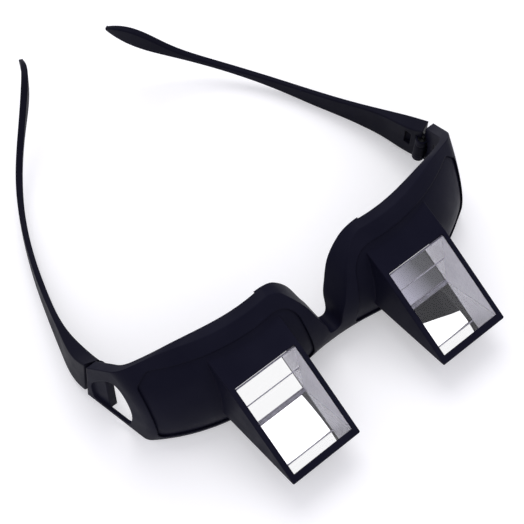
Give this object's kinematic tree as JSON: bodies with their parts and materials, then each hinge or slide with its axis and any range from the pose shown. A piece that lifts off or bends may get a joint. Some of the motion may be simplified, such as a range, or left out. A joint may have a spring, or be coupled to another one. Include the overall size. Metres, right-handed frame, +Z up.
{
  "type": "prism bed glasses",
  "caption": "Wraparound glasses with a box in front of each eye that holds a right-angle viewing prism, so the wearer reads while lying flat; the temples fold.",
  "frame": {"origin": "on the table the glasses stand on upside down, on the middle line, on the brow edge under the bridge", "axes": "+X towards the wearer's right, +Y back along the temples, +Z up, from the brow edge to the chin edge"},
  "size_m": [0.1531, 0.1802, 0.0376],
  "materials": {
    "frame_plastic": "black, fine satin moulding",
    "housing_plastic": "black, fine satin moulding",
    "temple_plastic": "black, fine satin moulding",
    "prism_glass": "clear, polished",
    "reflector_film": "silvered",
    "screw_steel": "plain"
  },
  "bodies": {
    "front": {"front_frame": "frame_plastic", "left_prism_housing": "housing_plastic", "right_prism_housing": "housing_plastic", "left_prism": "prism_glass", "right_prism": "prism_glass", "left_reflector": "reflector_film", "right_reflector": "reflector_film", "left_hinge_screw": "screw_steel", "right_hinge_screw": "screw_steel"},
    "left_arm": {"left_temple": "temple_plastic"},
    "right_arm": {"right_temple": "temple_plastic"}
  },
  "joints": [
    {"name": "left_temple_fold", "type": "hinge", "parent": "front", "child": "left_arm", "pos_m": [-0.07031, 0.0318, 0.0125], "axis": [0, 0, -1], "range_deg": [-15.7, 76.3]},
    {"name": "right_temple_fold", "type": "hinge", "parent": "front", "child": "right_arm", "pos_m": [0.07031, 0.0318, 0.0125], "axis": [0, 0, 1], "range_deg": [-23.1, 52.9]}
  ]
}
